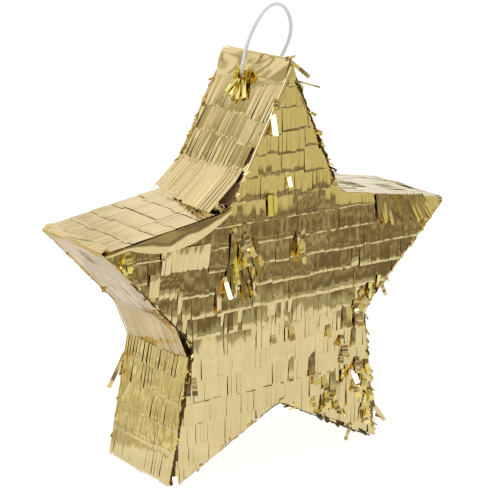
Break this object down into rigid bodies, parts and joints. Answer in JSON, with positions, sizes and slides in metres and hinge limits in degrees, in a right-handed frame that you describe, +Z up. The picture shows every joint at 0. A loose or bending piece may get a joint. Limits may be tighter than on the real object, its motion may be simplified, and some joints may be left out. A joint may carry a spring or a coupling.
{
  "type": "pinata",
  "caption": "Star-shaped piñata: a hollow cardboard box covered in rows of gold foil fringe, with a hanging loop on its top arm and a hinged filler flap in its back.",
  "frame": {"origin": "on the floor, at the middle of the box that just holds the star, which stands on its two lower tips", "axes": "+Z up through the top tip, -Y out of the front, +X to the right when looking at the front"},
  "size_m": [0.33, 0.084, 0.3498],
  "materials": {
    "cardboard": "matte",
    "gold_foil": "gloss",
    "white_cord": "satin"
  },
  "bodies": {
    "star": {"back_fringe_1_left": "gold_foil", "back_fringe_1_right": "gold_foil", "back_fringe_2": "gold_foil", "back_fringe_3_left": "gold_foil", "back_fringe_3_right": "gold_foil", "back_fringe_4": "gold_foil", "back_fringe_5": "gold_foil", "back_fringe_6": "gold_foil", "back_panel": "cardboard", "front_fringe_01_left": "gold_foil", "front_fringe_01_right": "gold_foil", "front_fringe_02_left": "gold_foil", "front_fringe_02_right": "gold_foil", "front_fringe_03_left": "gold_foil", "front_fringe_03_right": "gold_foil", "front_fringe_04": "gold_foil", "front_fringe_05": "gold_foil", "front_fringe_06": "gold_foil", "front_fringe_07": "gold_foil", "front_fringe_08": "gold_foil", "front_fringe_09": "gold_foil", "front_fringe_10": "gold_foil", "front_fringe_11": "gold_foil", "front_fringe_12": "gold_foil", "front_fringe_13": "gold_foil", "front_fringe_14": "gold_foil", "front_fringe_15": "gold_foil", "front_fringe_16": "gold_foil", "front_fringe_17": "gold_foil", "front_fringe_18": "gold_foil", "front_fringe_19": "gold_foil", "front_panel": "cardboard", "loop_tuft": "gold_foil", "ridge_foil_left": "gold_foil", "ridge_foil_left_leg": "gold_foil", "ridge_foil_right": "gold_foil", "ridge_foil_right_leg": "gold_foil", "ridge_foil_top": "gold_foil", "side_fringe_left_arm_lower": "gold_foil", "side_fringe_left_arm_upper": "gold_foil", "side_fringe_left_leg_inner": "gold_foil", "side_fringe_left_leg_outer": "gold_foil", "side_fringe_right_arm_lower": "gold_foil", "side_fringe_right_arm_upper": "gold_foil", "side_fringe_right_leg_inner": "gold_foil", "side_fringe_right_leg_outer": "gold_foil", "side_fringe_top_arm_left": "gold_foil", "side_fringe_top_arm_right": "gold_foil", "wall_bottom": "cardboard", "wall_lower_left": "cardboard", "wall_lower_right": "cardboard", "wall_upper_left": "cardboard", "wall_upper_right": "cardboard"},
    "flap": {"filler_flap": "cardboard", "flap_fringe": "gold_foil"},
    "loop": {"hanging_loop": "white_cord", "loop_knot": "white_cord"}
  },
  "joints": [
    {"name": "flap_crease", "type": "hinge", "parent": "star", "child": "flap", "pos_m": [0, 0.0422, 0.14805], "axis": [1, 0, 0], "range_deg": [0, 110]},
    {"name": "loop_swing", "type": "hinge", "parent": "star", "child": "loop", "pos_m": [0, 0.004, 0.292], "axis": [1, 0, 0], "range_deg": [-55, 55], "stiffness_Nm_per_rad": 0.004}
  ]
}
